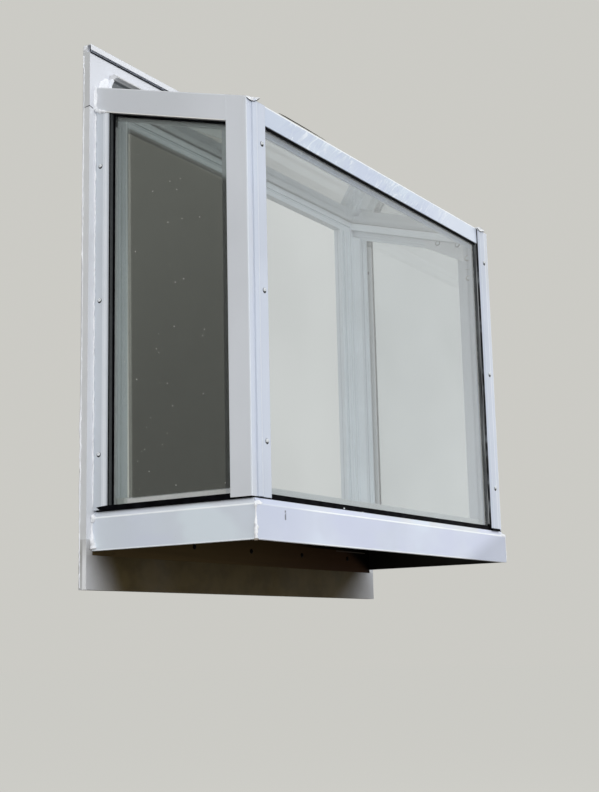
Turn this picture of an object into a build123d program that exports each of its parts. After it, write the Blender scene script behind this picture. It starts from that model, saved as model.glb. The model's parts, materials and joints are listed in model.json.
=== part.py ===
from build123d import *
import os

# Garden window: a glazed box that stands out from a wall, with its flat casing.
# Millimetres. X runs along the wall, Y into the wall, Z up.
# The origin is on the wall face, mid width, half way up the apron board.
# Heights are measured from the bottom edge of the casing.

# overall sizes
skirt_width = 1100.0
projection = 396.0
casing_overhang = 17.0
casing_thick = 19.0
apron_height = 68.0
skirt_low = 76.0
skirt_high = 65.0
front_top = 936.0
roof_climb = 117.6
head_above_roof = 91.0
head_below_roof = 49.0

# skirt and seat
sheet = 2.0
ledge_run = 8.0
ledge_rise = 12.0
ledge_flat = 28.0
hem = 9.0
mitre_gap = 0.6
seat_thick = 19.0

# frame faces
side_inset = 2.0
front_inset = 9.0
stile_wide = 50.5
post_face = 63.0
cover_wide = 46.0
jamb_wide = 41.0
jamb_flat = 27.0
wall_post_wide = 58.0
side_rail_drop = 54.5
front_rail_drop = 41.0
core_deep = 24.0
foot_gap = 3.0
joint_gap = 0.2

# glazing: how far the panes stand behind the frame faces
glass_thick = 14.0
side_set = 11.0
front_set = 5.0
side_lip = 8.5
front_lip = 4.0
lip_cover = 10.0
roof_set = 9.0
pane_gap = 1.0
flange_thick = 6.0
bead_wide = 5.0
bead_thick = 2.5
gasket_high = 11.0
sill_rail_high = 26.0

# ring round the wall opening
ring_face = 50.0
ring_step = 4.5
ring_head_drop = 56.5

# screw holes in the ledger
hole_pitch = 217.0
hole_r = 3.0
hole_height = 100.7
hole_count = 5

# worked out from the sizes above
half = skirt_width / 2
base = -apron_height / 2
casing_half = half + casing_overhang
wall_y = -casing_thick
skirt_y = wall_y - projection
side_x = half - side_inset
front_y = skirt_y + front_inset
skirt_z = base + skirt_low
shoulder_z = skirt_z + skirt_high
ledge_z = shoulder_z + ledge_rise
foot_z = ledge_z + foot_gap
seat_top = ledge_z - sheet
seat_low = seat_top - seat_thick
apron_top = base + apron_height
rail_top = ledge_z + sill_rail_high
strip_top = ledge_z + gasket_high
front_top_z = base + front_top
front_rail_low = front_top_z - front_rail_drop
stile_y = front_y + stile_wide
jamb_y = wall_y - jamb_wide
side_back = side_set + glass_thick + pane_gap
front_back = front_set + glass_thick + pane_gap
core_side = side_back + core_deep
core_front = front_back + core_deep
roof_seat = roof_set + glass_thick + pane_gap
ring_out = side_x - wall_post_wide
ring_half = ring_out - ring_face
front_span = side_x - post_face
post_flat = post_face - cover_wide


def roof_z(y):
    return front_top_z + (y - front_y) * roof_climb / (wall_y - front_y)


wall_top = roof_z(wall_y)
head_joint = wall_top - head_below_roof
casing_top = wall_top + head_above_roof
ring_low_edge = wall_top - ring_head_drop
ring_top_edge = ring_low_edge + ring_face
sky = 2 * casing_top


def along_x(points, x0, x1):
    face = Plane.YZ.offset(x0) * make_face(Polyline(points, close=True))
    return extrude(face, x1 - x0, dir=(1, 0, 0))


def along_z(points, z0, z1):
    face = Plane.XY.offset(z0) * make_face(Polyline(points, close=True))
    return extrude(face, z1 - z0, dir=(0, 0, 1))


def along_y(points, y0, y1):
    face = make_face(Polyline([(x, y0, z) for x, z in points], close=True))
    return extrude(face, y1 - y0, dir=(0, 1, 0))


def along_roof(outline, y0, y1):
    # outline: (x, height over the roof line) at y0, carried up the slope to y1
    points = [(x, y0, roof_z(y0) + rise) for x, rise in outline]
    face = make_face(Polyline(points, close=True))
    slope = Vector(0, y1 - y0, roof_z(y1) - roof_z(y0))
    return extrude(face, slope.length, dir=slope.normalized())


def block(x0, x1, y0, y1, z0, z1):
    return along_z([(x0, y0), (x1, y0), (x1, y1), (x0, y1)], z0, z1)


def above_roof(x0, y0, drop):
    # everything over a line that runs parallel to the roof, drop below it
    y1 = wall_y + core_deep
    outline = [(y0, roof_z(y0) - drop), (y1, roof_z(y1) - drop), (y1, sky), (y0, sky)]
    return along_x(outline, x0, 0)


def from_side(points):
    # s runs in from the side face of the frame, y is a place along the wall's normal
    return [(-side_x + s, y) for s, y in points]


def from_corner(points):
    # s runs in from the side face, t runs in from the front face
    return [(-side_x + s, front_y + t) for s, t in points]


nodes = {}


def pair(name, left_shape):
    nodes[name + "_left"] = left_shape
    nodes[name + "_right"] = left_shape.mirror(Plane.YZ)


# casing on the wall
def make_casing():
    upright = block(-casing_half, -ring_out, wall_y, 0, seat_low, head_joint)
    margin = block(-casing_half, -side_x - joint_gap, wall_y, 0, apron_top, seat_low)
    pair("trim", upright + margin)
    cap_drop = 17.0
    head = block(-casing_half, casing_half, wall_y, 0, head_joint, casing_top - cap_drop)
    head -= block(-ring_out, ring_out, wall_y, 0, head_joint, ring_top_edge)
    nodes["trim_top"] = head
    nodes["apron_board"] = block(-casing_half, casing_half, wall_y, 0, base, apron_top)
    lip_drop = 12.0
    cap_back = wall_y * 0.6
    cap = [
        (0, casing_top - cap_drop),
        (cap_back, casing_top - cap_drop),
        (cap_back, casing_top - sheet),
        (wall_y, casing_top - sheet),
        (wall_y, casing_top - lip_drop),
        (wall_y - sheet, casing_top - lip_drop),
        (wall_y - sheet, casing_top),
        (0, casing_top),
    ]
    nodes["drip_cap"] = along_x(cap, -casing_half, casing_half)


# seat board, and the ledger that carries it on the wall
def make_seat():
    edge = ledge_run + 2 * sheet
    nodes["seat_board"] = block(-half + edge, half - edge, skirt_y + edge, wall_y, seat_low, seat_top)
    ledger = block(-side_x, side_x, wall_y, 0, apron_top, seat_low)
    hole_z = base + hole_height
    for place in range(hole_count):
        x = (place - (hole_count - 1) / 2) * hole_pitch
        ledger -= Pos(x, 0, hole_z) * Rot(90, 0, 0) * Cylinder(hole_r, 4 * casing_thick)
    nodes["ledger_board"] = ledger


# folded sheet round the seat, mitred at the front corners
def skirt_section(face):
    def at(depth, z):
        return (face + depth, z)
    return [
        at(0, skirt_z),
        at(0, shoulder_z),
        at(ledge_run, ledge_z),
        at(ledge_run + ledge_flat, ledge_z),
        at(ledge_run + ledge_flat, seat_top),
        at(ledge_run + sheet, seat_top),
        at(sheet, shoulder_z - sheet),
        at(sheet, skirt_z + sheet),
        at(hem, skirt_z + sheet),
        at(hem, skirt_z),
    ]


def make_skirt():
    reach = ledge_run + ledge_flat + hem
    front_plan = [
        (-half, skirt_y),
        (half, skirt_y),
        (half - reach, skirt_y + reach),
        (reach - half, skirt_y + reach),
    ]
    side_plan = [
        (-half, skirt_y + mitre_gap),
        (reach - half, skirt_y + reach + mitre_gap),
        (reach - half, wall_y),
        (-half, wall_y),
    ]
    whole_front = along_x(skirt_section(skirt_y), -half, half)
    nodes["skirt_front"] = whole_front & along_z(front_plan, skirt_z, ledge_z)
    whole_side = along_y(skirt_section(-half), skirt_y, wall_y)
    pair("skirt", whole_side & along_z(side_plan, skirt_z, ledge_z))


# posts: their lips stop above the gasket, their cores stand on the ledge
def cut_foot(shape, y1):
    shape -= block(-half, -side_x + side_back, front_y - hem, y1, ledge_z - 1, foot_z)
    return shape - block(-half, 0, front_y - hem, front_y + front_back, ledge_z - 1, foot_z)


def make_corner_posts():
    stop = lip_cover + pane_gap
    flange_front = 9.0
    flange_side = 26.0
    bead_step = 8.5
    outline = from_corner([
        (0, 0),
        (post_flat, 0),
        (post_flat, front_lip),
        (post_face - stop, front_lip),
        (post_face - stop, front_back),
        (post_face + flange_front, front_back),
        (post_face + flange_front, front_back + flange_thick),
        (core_side, front_back + flange_thick),
        (core_side, core_side),
        (side_back + flange_thick, core_side),
        (side_back + flange_thick, stile_wide + flange_side - bead_step),
        (side_back + flange_thick / 2, stile_wide + flange_side - bead_step),
        (side_back + flange_thick / 2, stile_wide + flange_side),
        (side_back, stile_wide + flange_side),
        (side_back, stile_wide - stop),
        (side_lip, stile_wide - stop),
        (side_lip, stile_wide),
        (1.5, stile_wide),
        (0, stile_wide - 1.5),
    ])
    post = cut_foot(along_z(outline, ledge_z, sky), wall_y)
    post -= above_roof(-half, front_y - hem, 0)
    post -= above_roof(-side_x + side_lip - joint_gap, front_y + side_lip, roof_seat)
    rail_reach = side_rail_drop + stop + joint_gap
    post -= above_roof(-side_x + side_lip - joint_gap, stile_y, rail_reach)
    over_rail = front_rail_low - lip_cover - 2 - joint_gap
    post -= block(-side_x + post_face, 0, front_y + front_lip, stile_y, over_rail, sky)
    pair("corner_post", post)


# screwed cover on the front of each corner post: both are the same way round,
# with the rounded ridge to the left and the thin flange with the screws to the right
def make_post_covers():
    ridge = 6.0
    ridge_wide = 18.0
    skin = 1.0

    def along_face(points):
        return [(post_flat - side_x + a, front_y - proud) for a, proud in points]

    crest = Spline(along_face([
        (joint_gap, ridge / 2),
        (ridge_wide / 4, 0.85 * ridge),
        (ridge_wide / 2, ridge),
        (ridge_wide * 3 / 4, 0.75 * ridge),
        (ridge_wide, skin),
    ]))
    rest = Polyline(along_face([
        (ridge_wide, skin),
        (cover_wide, skin),
        (cover_wide, -front_lip),
        (joint_gap, -front_lip),
        (joint_gap, ridge / 2),
    ]))
    section = Pos(0, 0, foot_z) * make_face(Curve() + [crest, rest])
    cover = extrude(section, front_top_z - foot_z, dir=(0, 0, 1))
    nodes["post_cover_left"] = cover
    nodes["post_cover_right"] = Pos(2 * side_x - post_flat - post_face - joint_gap, 0, 0) * cover


# posts at the wall, and the screwed covers that clamp the side panes to them
def make_wall_posts():
    pane_end = jamb_y + lip_cover + pane_gap
    flange_end = jamb_y + lip_cover / 2
    step = 9.0
    toe = 12.0
    outline = from_side([
        (side_lip + joint_gap, wall_y),
        (side_lip + joint_gap, pane_end),
        (side_back, pane_end),
        (side_back, flange_end),
        (side_back + flange_thick / 2, flange_end),
        (side_back + flange_thick / 2, flange_end + step),
        (core_side, flange_end + step),
        (wall_post_wide, wall_y - toe),
        (wall_post_wide, wall_y),
    ])
    post = cut_foot(along_z(outline, ledge_z, sky), wall_y)
    rail_reach = side_rail_drop + lip_cover + pane_gap + joint_gap
    post -= above_roof(-half, front_y, rail_reach)
    pair("wall_post", post)
    bevel = 6.0
    outline = from_side([
        (0, wall_y),
        (0, wall_y - jamb_flat),
        (bevel, jamb_y),
        (side_set - joint_gap, jamb_y),
        (side_set - joint_gap, jamb_y + lip_cover),
        (side_lip, jamb_y + lip_cover),
        (side_lip, wall_y),
    ])
    cover = along_z(outline, foot_z, sky) - above_roof(-half, front_y, side_rail_drop + joint_gap)
    pair("jamb_cover", cover)


# sloping rails over the side panes
def make_side_rails():
    stop = side_rail_drop - lip_cover - pane_gap
    bead_low = side_rail_drop + lip_cover + pane_gap
    flange_low = bead_low - 8
    outline = [
        (0, 0),
        (side_lip, 0),
        (side_lip, -roof_seat - joint_gap),
        (core_side, -roof_seat - joint_gap),
        (core_side, -stop),
        (side_back + flange_thick, -stop),
        (side_back + flange_thick, -flange_low),
        (side_back + flange_thick / 2, -flange_low),
        (side_back + flange_thick / 2, -bead_low),
        (side_back, -bead_low),
        (side_back, -stop),
        (side_lip, -stop),
        (side_lip, -side_rail_drop),
        (0, -side_rail_drop),
    ]
    rail = along_roof([(-side_x + s, rise) for s, rise in outline], stile_y, wall_y)
    pair("side_top_rail", rail)


# rail over the front pane, with the roof glass lapping onto it
def make_front_rail():
    stop = front_rail_low + lip_cover + pane_gap
    core_top = roof_z(front_y + core_front) - roof_seat - joint_gap
    heel_top = roof_z(front_y + side_lip) - roof_seat - joint_gap
    outline = [
        (front_y, front_rail_low),
        (front_y + front_lip, front_rail_low),
        (front_y + front_lip, stop),
        (front_y + front_back, stop),
        (front_y + front_back, front_rail_low - lip_cover - 2),
        (front_y + front_back + flange_thick, front_rail_low - lip_cover - 2),
        (front_y + front_back + flange_thick, stop),
        (front_y + core_front, stop),
        (front_y + core_front, core_top),
        (front_y + side_lip, heel_top),
        (front_y + side_lip, roof_z(front_y + side_lip)),
        (front_y, front_top_z),
    ]
    span = front_span - joint_gap
    nodes["front_top_rail"] = along_x(outline, -span, span)


# inner stops at the foot of the panes
def make_sill_rails():
    front_end = front_span - lip_cover
    nodes["front_sill_rail"] = block(
        -front_end, front_end, front_y + front_back, front_y + core_front, ledge_z, rail_top
    )
    pair("sill_rail", block(
        -side_x + side_back,
        -side_x + core_side,
        stile_y + stile_wide / 2 + pane_gap,
        jamb_y + side_lip / 2,
        ledge_z,
        rail_top,
    ))


# sealed glass units
def make_glass():
    nodes["front_glass"] = block(
        -front_span - lip_cover,
        front_span + lip_cover,
        front_y + front_set,
        front_y + front_set + glass_thick,
        ledge_z,
        front_rail_low + lip_cover,
    )
    y0 = stile_y - lip_cover
    y1 = jamb_y + lip_cover
    drop = side_rail_drop - lip_cover
    outline = [(y0, ledge_z), (y1, ledge_z), (y1, roof_z(y1) - drop), (y0, roof_z(y0) - drop)]
    pane = along_x(outline, -side_x + side_set, -side_x + side_set + glass_thick)
    nodes["left_glass"] = pane
    nodes["right_glass"] = pane.mirror(Plane.YZ)
    edge = side_x - side_lip - pane_gap
    slab = [(-edge, -roof_set), (edge, -roof_set), (edge, -roof_seat), (-edge, -roof_seat)]
    nodes["roof_glass"] = along_roof(slab, front_y + side_lip + pane_gap, wall_y)


# ridged strips that clamp the roof glass along its sides and its foot
def make_roof_strips():
    skin = 4.0
    ridge = 2.0
    edge = 2.0
    slope = 4.0
    ridge_end = 21.0
    flat = skin - roof_set
    seat = roof_set - joint_gap
    near = side_lip + edge
    outline = [
        (near, -seat),
        (near, flat),
        (near + slope, 0),
        (near + slope, ridge / 2),
        (ridge_end - slope, ridge),
        (ridge_end, -ridge / 2),
        (ridge_end + slope, flat),
        (core_side, flat),
        (core_side, -seat),
    ]
    bar = along_roof([(-side_x + s, rise) for s, rise in outline], stile_y, wall_y)
    pair("roof_bar", bar)
    y0 = front_y + side_lip + pane_gap
    y1 = stile_y - joint_gap
    outline = [
        (y0, roof_z(y0) + flat),
        (y1, roof_z(y1) + flat),
        (y1, roof_z(y1) - seat),
        (y0, roof_z(y0) - seat),
    ]
    nodes["eave_strip"] = along_x(outline, -front_span, front_span)


# ridged channel over the roof glass at the wall
def make_head_bar():
    low = wall_top + 1.5
    deep = 23.0
    tall = 40.0
    reach = 15.0
    web = 7.0
    nose = 9.0
    outline = [
        (wall_y, low),
        (wall_y - deep, low),
        (wall_y - deep, low + web / 2),
        (wall_y - web, low + web),
        (wall_y - web, low + tall - nose - web),
        (wall_y - deep + web, low + tall - nose - sheet),
        (wall_y - deep, low + tall - nose),
        (wall_y - deep + nose, low + tall),
        (wall_y, low + tall),
    ]
    end = ring_out + reach
    bar = along_x(outline, -end, end)
    groove = sheet / 2
    for share in (0.3, 0.6):
        y = wall_y - deep + nose * share
        z = low + tall - nose + nose * share
        notch = [(y - groove, z), (y, z + groove), (y + groove, z), (y, z - groove)]
        bar -= along_x(notch, -end, end)
    nodes["wall_head_bar"] = bar


# black gaskets: a bead round each pane and a strip under its foot
def make_gaskets():
    def inset(outline_low, outline_high, near, far):
        return [
            (near, outline_low),
            (far, outline_low),
            (far, outline_high(far)),
            (near, outline_high(near)),
        ]

    face = -side_x + side_set
    outer = inset(strip_top, lambda y: roof_z(y) - side_rail_drop, stile_y, jamb_y)
    inner = inset(
        ledge_z,
        lambda y: roof_z(y) - side_rail_drop - bead_wide,
        stile_y + bead_wide,
        jamb_y - bead_wide,
    )
    bead = along_x(outer, face - bead_thick, face) - along_x(inner, face - bead_thick, face)
    strip_end = wall_y - side_lip
    strip = block(
        -side_x + pane_gap / 2, face, front_y + front_set + joint_gap, strip_end, ledge_z, strip_top
    )
    strip -= block(-half, face, front_y, stile_y, foot_z, sky)
    strip -= block(-half, face, jamb_y, wall_y, foot_z, sky)
    nodes["left_gasket"] = bead + strip
    nodes["right_gasket"] = (bead + strip).mirror(Plane.YZ)

    face = front_y + front_set
    outer = block(-front_span, front_span, face - bead_thick, face, strip_top, front_rail_low)
    inner = block(
        -front_span + bead_wide,
        front_span - bead_wide,
        face - bead_thick,
        face,
        ledge_z,
        front_rail_low - bead_wide,
    )
    end = side_x - pane_gap / 2
    strip = block(-end, end, front_y + pane_gap / 2, face, ledge_z, foot_z)
    strip += block(-front_span, front_span, front_y + pane_gap / 2, face, foot_z, strip_top)
    nodes["front_gasket"] = (outer - inner) + strip


# stepped ring round the wall opening
def make_ring():
    third = ring_face / 3
    outline = [
        (-ring_out, 0),
        (-ring_out, wall_y - 2 * ring_step),
        (-ring_out + third, wall_y - 2 * ring_step),
        (-ring_out + third, wall_y - ring_step),
        (-ring_out + 2 * third, wall_y - ring_step),
        (-ring_out + 2 * third, wall_y),
        (-ring_half, wall_y),
        (-ring_half, 0),
    ]
    pair("inner_jamb", along_z(outline, seat_top, ring_low_edge))
    outline = [
        (0, ring_low_edge),
        (wall_y, ring_low_edge),
        (wall_y, ring_low_edge + third),
        (wall_y - ring_step, ring_low_edge + third),
        (wall_y - ring_step, ring_low_edge + 1.7 * third),
        (wall_y, ring_low_edge + 1.7 * third),
        (wall_y, ring_top_edge),
        (0, ring_top_edge),
    ]
    nodes["inner_head"] = along_x(outline, -ring_out, ring_out)
    nodes["inner_sill"] = block(-ring_out, ring_out, wall_y, 0, seat_low, seat_top)


make_casing()
make_seat()
make_skirt()
make_corner_posts()
make_post_covers()
make_wall_posts()
make_side_rails()
make_front_rail()
make_sill_rails()
make_glass()
make_roof_strips()
make_head_bar()
make_gaskets()
make_ring()

os.makedirs("parts", exist_ok=True)
for name, shape in nodes.items():
    export_step(shape, f"parts/{name}.step")
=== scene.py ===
import bmesh
import bpy
import json
import math
import random
from mathutils import Matrix, Vector, noise


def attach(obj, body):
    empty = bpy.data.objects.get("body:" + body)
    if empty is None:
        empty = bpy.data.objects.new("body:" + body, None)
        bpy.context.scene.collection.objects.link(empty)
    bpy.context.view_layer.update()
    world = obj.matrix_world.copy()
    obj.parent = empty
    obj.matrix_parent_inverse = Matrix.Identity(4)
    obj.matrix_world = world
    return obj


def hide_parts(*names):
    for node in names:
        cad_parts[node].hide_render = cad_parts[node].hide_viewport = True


# without a seed, noise_vector starts from the clock and the beads differ in each run
noise.seed_set(5)

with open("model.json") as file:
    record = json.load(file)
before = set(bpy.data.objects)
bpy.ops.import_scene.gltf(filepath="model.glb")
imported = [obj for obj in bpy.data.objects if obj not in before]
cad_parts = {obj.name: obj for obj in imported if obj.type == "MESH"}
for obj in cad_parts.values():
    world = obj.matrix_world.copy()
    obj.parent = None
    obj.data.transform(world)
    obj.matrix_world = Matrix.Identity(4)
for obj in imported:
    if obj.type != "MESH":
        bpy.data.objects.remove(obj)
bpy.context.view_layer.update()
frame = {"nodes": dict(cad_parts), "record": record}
nodes = frame["nodes"]

# Places below are in millimetres in the frame of the model, as in the CAD.
MM = 0.001

# faces of the model that the pieces sit on
SIDE = 548.0
CASING = -19.0
FRONT = -406.0
LEDGE = 119.0
FRONT_TOP = 902.0
ROOF_CLIMB = 117.6
ROOF_SLOPE = ROOF_CLIMB / (CASING - FRONT)


def roof_z(y):
    return FRONT_TOP + (y - FRONT) * ROOF_SLOPE


# camera
IMAGE_H = 792.0
FOCAL_PX = 1307.13
SENSOR = 36.0
CAMERA_SPOT = (-2.50644, -1.77296, -0.14567)
yaw = math.radians(57.266)
pitch = math.radians(10.702)
roll = math.radians(-1.284)
forward = Vector((math.sin(yaw) * math.cos(pitch), math.cos(yaw) * math.cos(pitch), math.sin(pitch)))
level = Vector((math.cos(yaw), -math.sin(yaw), 0))
rise = level.cross(forward)
right = math.cos(roll) * level + math.sin(roll) * rise
up = -math.sin(roll) * level + math.cos(roll) * rise
cam_data = bpy.data.cameras.new("photo_camera")
cam_data.sensor_width = SENSOR
cam_data.lens = FOCAL_PX * SENSOR / IMAGE_H
cam_data.clip_end = 60
cam = bpy.data.objects.new("photo_camera", cam_data)
bpy.context.scene.collection.objects.link(cam)
turn = Matrix((right, up, -forward)).transposed().to_4x4()
cam.matrix_world = Matrix.Translation(CAMERA_SPOT) @ turn
bpy.context.scene.camera = cam


# shader helpers
class Tree:
    """Short calls for one node tree."""

    def __init__(self, tree):
        self.tree = tree
        tree.nodes.clear()

    def node(self, kind, settings=None, **inputs):
        n = self.tree.nodes.new(kind)
        for key, value in (settings or {}).items():
            setattr(n, key, value)
        for key, value in inputs.items():
            numbered = key[0] == "i" and key[1:].isdigit()
            self.put(n.inputs[int(key[1:]) if numbered else key.replace("_", " ")], value)
        return n

    def put(self, socket, value):
        if isinstance(value, bpy.types.NodeSocket):
            self.tree.links.new(value, socket)
        else:
            socket.default_value = value

    def math(self, operation, a, b=0.0):
        return self.node("ShaderNodeMath", {"operation": operation}, i0=a, i1=b).outputs[0]

    def times(self, a, b):
        return self.math("MULTIPLY", a, b)

    def plus(self, a, b):
        return self.math("ADD", a, b)

    def direct_rays(self):
        """1 for rays from the camera, mirrored rays and rays through glass, 0 for scattered light."""
        rays = self.node("ShaderNodeLightPath").outputs
        mirrored = self.math("MAXIMUM", rays["Is Glossy Ray"], rays["Is Transmission Ray"])
        return self.math("MAXIMUM", rays["Is Camera Ray"], mirrored)


class Shader(Tree):
    """A material whose tones follow places in the model, in metres."""

    def __init__(self, name):
        self.material = bpy.data.materials.new(name)
        self.material.use_nodes = True
        super().__init__(self.material.node_tree)
        self.place = self.node("ShaderNodeTexCoord").outputs["Object"]
        self.normal = self.node("ShaderNodeNewGeometry").outputs["Normal"]
        self.x, self.y, self.z = self.node("ShaderNodeSeparateXYZ", Vector=self.place).outputs
        self.nx, self.ny, self.nz = self.node("ShaderNodeSeparateXYZ", Vector=self.normal).outputs

    def noise(self, scale, detail=3.0, stretch=(1, 1, 1), rough=0.5, seed=0.0):
        where = self.node("ShaderNodeMapping", Vector=self.place, Scale=stretch, Location=(seed, seed, seed))
        return self.node(
            "ShaderNodeTexNoise", Vector=where.outputs[0], Scale=scale, Detail=detail, Roughness=rough,
        ).outputs["Fac"]

    def band(self, value, low, high, to_low=0.0, to_high=1.0):
        """From to_low to to_high while the value goes from low to high."""
        return self.node(
            "ShaderNodeMapRange", {"interpolation_type": "SMOOTHSTEP"},
            Value=value, From_Min=low, From_Max=high, To_Min=to_low, To_Max=to_high,
        ).outputs[0]

    def gloss(self, scale, detail, low, high):
        """A roughness that wanders between two values."""
        return self.band(self.noise(scale, detail), 0.3, 0.7, low, high)

    def mix(self, factor, a, b):
        n = self.node("ShaderNodeMix", {"data_type": "RGBA"}, i0=factor)
        for place, colour in ((6, a), (7, b)):
            self.put(n.inputs[place], colour if isinstance(colour, bpy.types.NodeSocket) else (*colour, 1))
        return n.outputs[2]

    def within(self, soft=0.0005, **ranges):
        """1 between two places: x, y and z, wide for x without its sign, drop from the roof plane."""
        roof = self.plus(self.times(self.y, ROOF_SLOPE), (FRONT_TOP - FRONT * ROOF_SLOPE) * MM)
        places = {
            "x": self.x, "y": self.y, "z": self.z,
            "wide": self.math("ABSOLUTE", self.x), "drop": self.math("SUBTRACT", self.z, roof),
        }
        mask = 1.0
        for key, (low, high) in ranges.items():
            mask = self.times(mask, self.band(places[key], low - soft, low + soft))
            mask = self.times(mask, self.band(places[key], high - soft, high + soft, 1, 0))
        return mask

    def bevel(self, radius):
        return self.node("ShaderNodeBevel", {"samples": 4}, Radius=radius).outputs[0]

    def edges(self, radius):
        """1 along the folds and arrises, 0 on the flats."""
        bent = self.bevel(radius)
        dot = self.node("ShaderNodeVectorMath", {"operation": "DOT_PRODUCT"}, i0=self.normal, i1=bent)
        return self.band(dot.outputs["Value"], 0.96, 0.9993, 1, 0)

    def finish(self, colour, rough, height, depth=0.0004, round_edge=0.0, **sockets):
        p = self.node("ShaderNodeBsdfPrincipled", Base_Color=colour, Roughness=rough, **sockets)
        bump = self.node("ShaderNodeBump", Height=height, Distance=depth, Strength=0.5)
        if round_edge:
            self.put(bump.inputs["Normal"], self.bevel(round_edge))
        self.put(p.inputs["Normal"], bump.outputs[0])
        self.out(p.outputs[0])

    def out(self, shader):
        self.node("ShaderNodeOutputMaterial", Surface=shader)


def dimmed(colour, *shares):
    shares = shares if len(shares) == 3 else shares * 3
    return tuple(c * share for c, share in zip(colour, shares))


class Enamel(Shader):
    """White painted metal. Each method lays one more thing that the photo shows on the coat."""

    def __init__(self, name, base, front=None, flank=None, ledge=None):
        super().__init__(name)
        self.base = base
        self.colour = base
        self.height = self.times(self.noise(420, 2), 0.12)
        # front, flank and ledge are painted light and shade: tones laid on the faces turned to the front, to
        # the sides and upwards.
        if front:
            self.lay(self.band(self.ny, -0.9, -0.5, 1, 0), front)
        if flank:
            self.lay(self.band(self.math("ABSOLUTE", self.nx), 0.5, 0.85), flank)
        if ledge:
            self.lay(self.band(self.nz, 0.2, 0.45), ledge)

    def lay(self, mask, colour, share=1.0):
        self.colour = self.mix(self.times(mask, share), self.colour, colour)
        return self

    def toned(self, tone, share, soft, **ranges):
        return self.lay(self.within(soft, **ranges), tone, share)

    def weather(self, grime):
        """Faint clouds, rain runs, specks and smudges."""
        runs = self.noise(1.0, 5, (38, 38, 3.4), 0.65, 3.7)
        smudges = self.noise(14, 5, (1, 1, 1), 0.65, 21.0)
        self.lay(self.band(self.noise(3.1, 4), 0.62, 0.36), dimmed(self.base, 0.9), 0.8)
        self.lay(self.band(self.noise(2.3, 3, seed=6.5), 0.56, 0.74), dimmed(self.base, 1.06), 0.6)
        self.lay(self.band(runs, 0.55, 0.85), (0.42, 0.41, 0.38), 0.13 * grime)
        self.lay(self.band(self.noise(330, 2, seed=9.0), 0.74, 0.79), (0.16, 0.14, 0.12), 0.55 * grime)
        return self.lay(self.band(smudges, 0.58, 0.8), (0.5, 0.5, 0.5), 0.2 * grime)

    def oil_can(self, amount):
        """The slow swells of thin sheet: a bump, with a lavender painted shade on the high parts and a pale
        painted sheen on the low parts.
        """
        swell = self.noise(1.0, 2, (5.5, 5.5, 9), 0.4, 5.0)
        self.height = self.plus(self.height, self.times(swell, amount))
        self.lay(self.band(swell, 0.44, 0.60), dimmed(self.base, 0.915, 0.905, 0.96), 0.65)
        return self.lay(self.band(swell, 0.44, 0.32), dimmed(self.base, 1.05, 1.08, 1.05), 0.7)

    def crinkles(self, *spans):
        """Slanting creases, with a pale painted highlight on one flank and dark painted shade on the other.
        """
        along = self.plus(self.x, self.times(self.z, -1.05))
        for low, high, fine in spans:
            where = self.node("ShaderNodeCombineXYZ", X=self.times(along, fine), Y=low * 40,
                              Z=self.times(self.z, fine * 0.38))
            crease = self.node("ShaderNodeTexNoise", Vector=where.outputs[0], Scale=1.0, Detail=3.0,
                               Roughness=0.6, Distortion=1.1).outputs["Fac"]
            patches = self.band(self.noise(13, 3, (1, 1, 1.6), seed=low + 8), 0.34, 0.58)
            here = self.times(self.within(0.03, x=(low, high)), patches)
            dark = self.times(self.band(crease, 0.47, 0.36), here)
            pale = self.times(self.band(crease, 0.53, 0.66), here)
            self.lay(dark, dimmed(self.base, 0.82, 0.82, 0.89), 0.7).lay(pale, (0.86, 0.91, 0.97), 0.7)
            self.height = self.plus(self.height, self.times(self.times(crease, here), 1.8))
        return self

    def strip(self, tone=(0.93, 0.97, 1.0), share=0.85, soft=0.0005, **ranges):
        """A painted highlight, painted shade or a dark line along an edge or a groove."""
        broken = self.band(self.noise(24, 4, seed=17.0), 0.25, 0.5, 0.7, 1.0)
        return self.lay(self.times(self.within(soft, **ranges), broken), tone, share)

    # A groove: a dent in the bump, with painted shade along it.
    def groove(self, **ranges):
        mask = self.within(0.0004, **ranges)
        self.height = self.math("SUBTRACT", self.height, mask)
        return self.lay(mask, dimmed(self.base, 0.5, 0.53, 0.56), 0.8)

    def scratch(self, **ranges):
        broken = self.band(self.noise(160, 2), 0.2, 0.42)
        return self.lay(self.times(self.within(0.0008, **ranges), broken), (0.07, 0.07, 0.10), 0.85)

    def reflection_end(self, tone):
        """A painted reflection that darkens the right end of the front skirt, past a slanting line."""
        past = self.band(self.math("SUBTRACT", self.x, self.times(self.z, 2.6)), 0.15, 0.29)
        return self.lay(self.times(past, self.band(self.z, 0.103, 0.106, 1, 0)), tone, 0.9)

    def box_shade(self, tone, top=None):
        """Brown, mottled painted shade under the window box, fading out towards both ends, and upwards where
        top says from where to where.
        """
        wander = self.times(self.math("SUBTRACT", self.noise(9, 4, seed=14.0), 0.5), 0.04)
        x = self.plus(self.x, wander)
        slant = self.plus(x, self.times(self.z, 0.6))
        thins = self.plus(self.times(self.z, 1.7), 0.40)
        ends = self.plus(self.times(self.z, -1.4), 0.60)
        mask = self.times(self.band(slant, -0.612, -0.462), self.band(x, thins, ends, 1, 0))
        mask = self.times(mask, self.band(self.ny, 0.3, 0.7, 1, 0))
        if top:
            mask = self.times(mask, self.band(self.z, *top, 1, 0))
        mottled_tone = self.mix(self.band(self.noise(22, 5), 0.35, 0.7), tone, dimmed(tone, 0.75))
        return self.lay(self.times(mask, self.band(self.noise(5, 5, seed=31.0), 0.2, 0.5, 0.95, 1.0)), mottled_tone)

    def pale_foot(self, tone):
        """The clean paint at the foot of the casing's side faces, next to their front edge."""
        side = self.within(0.001, wide=(0.566, 0.568), y=(-0.021, -0.0095))
        return self.lay(self.times(side, self.within(0.04, z=(-0.1, 0.05))), tone, 0.9)

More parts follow.
